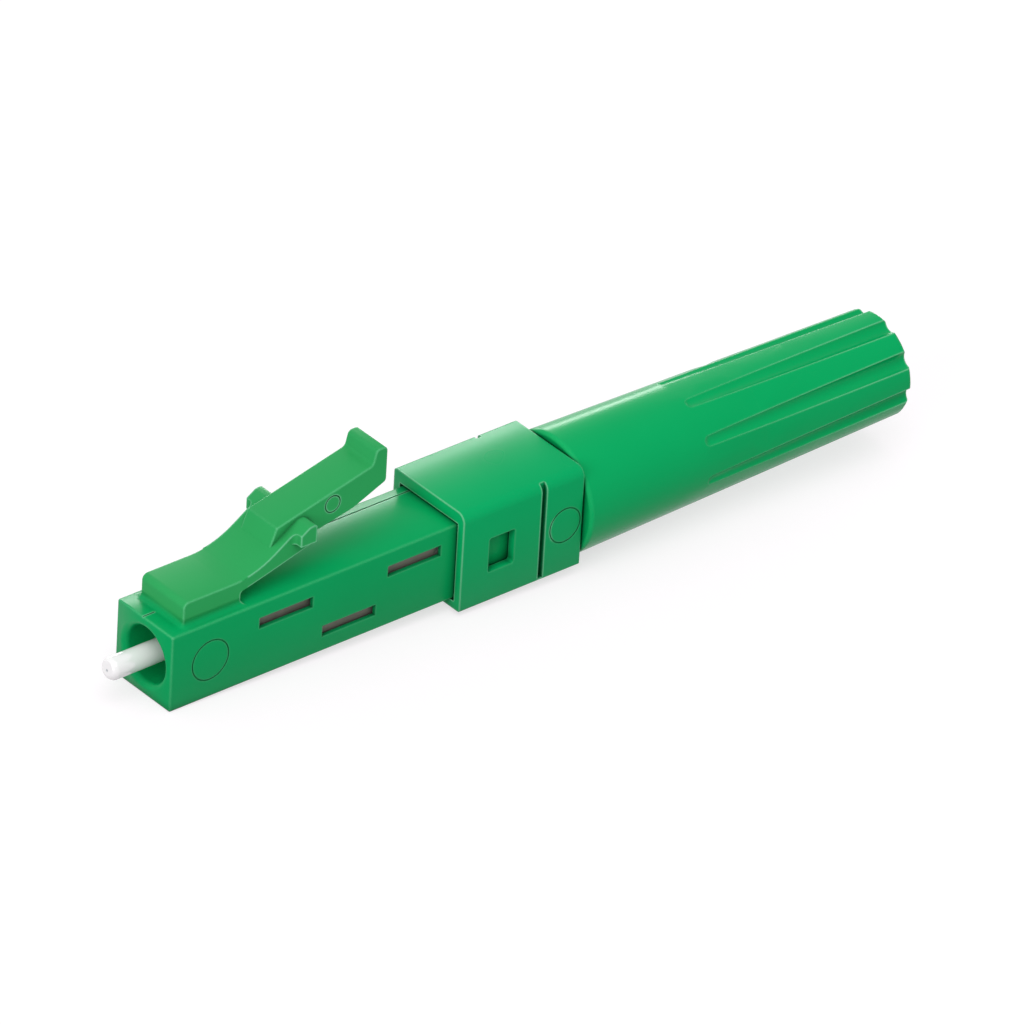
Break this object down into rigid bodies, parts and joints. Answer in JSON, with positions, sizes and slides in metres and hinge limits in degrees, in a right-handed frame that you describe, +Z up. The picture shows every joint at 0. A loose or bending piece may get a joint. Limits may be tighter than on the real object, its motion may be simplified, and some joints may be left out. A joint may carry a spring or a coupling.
{
  "type": "lc field assembly connector",
  "caption": "Square fibre-optic plug with a ceramic ferrule, a press-down latch arm with ears, a square rear block and a long fluted tail nut, for fitting to a cable on site.",
  "frame": {"origin": "on the ferrule's axis, in the plane of the plug's front face", "axes": "+X along the fibre from the ferrule's tip to the cable's exit, +Y across, +Z up towards the latch"},
  "size_m": [0.0513, 0.0068, 0.0114],
  "materials": {
    "green_plastic": "satin gloss",
    "ferrule_ceramic": "polished",
    "fibre_glass": "clear",
    "collar_metal": "nickel plated",
    "splice_plastic": "matt",
    "clip_metal": "dull",
    "spring_steel": "bright",
    "tube_plastic": "matt"
  },
  "bodies": {
    "plug": {"front_housing": "green_plastic", "rear_block": "green_plastic", "inner_body": "green_plastic", "buffer_tube": "tube_plastic"},
    "latch": {"latch_arm": "green_plastic"},
    "floating_group": {"ferrule": "ferrule_ceramic", "fibre_stub": "fibre_glass", "ferrule_collar": "collar_metal", "splice_base": "splice_plastic", "splice_cover": "splice_plastic", "splice_clip": "clip_metal", "fibre_guide": "splice_plastic", "ferrule_spring": "spring_steel"},
    "clamp": {"cable_collet": "tube_plastic"},
    "boot": {"boot_nut": "green_plastic"}
  },
  "joints": [
    {"name": "latch_press", "type": "hinge", "parent": "plug", "child": "latch", "pos_m": [0.00502, 0, 0.00307], "axis": [0, 1, 0], "range_deg": [0, 18], "stiffness_Nm_per_rad": 0.05},
    {"name": "ferrule_float", "type": "slide", "parent": "plug", "child": "floating_group", "axis": [1, 0, 0], "range_m": [0, 0.0009], "stiffness_N_per_m": 2500, "springref_m": -0.001, "deforming": ["ferrule_spring"]},
    {"name": "boot_travel", "type": "slide", "parent": "plug", "child": "clamp", "axis": [1, 0, 0], "range_m": [0, 0.00525]},
    {"name": "boot_turn", "type": "hinge", "parent": "clamp", "child": "boot", "pos_m": [0.0378, 0, 0], "axis": [1, 0, 0], "range_deg": [0, 2520]}
  ],
  "couplings": [
    {"joint": "boot_turn", "follows": "boot_travel", "rad_per_m": 8377.6}
  ]
}
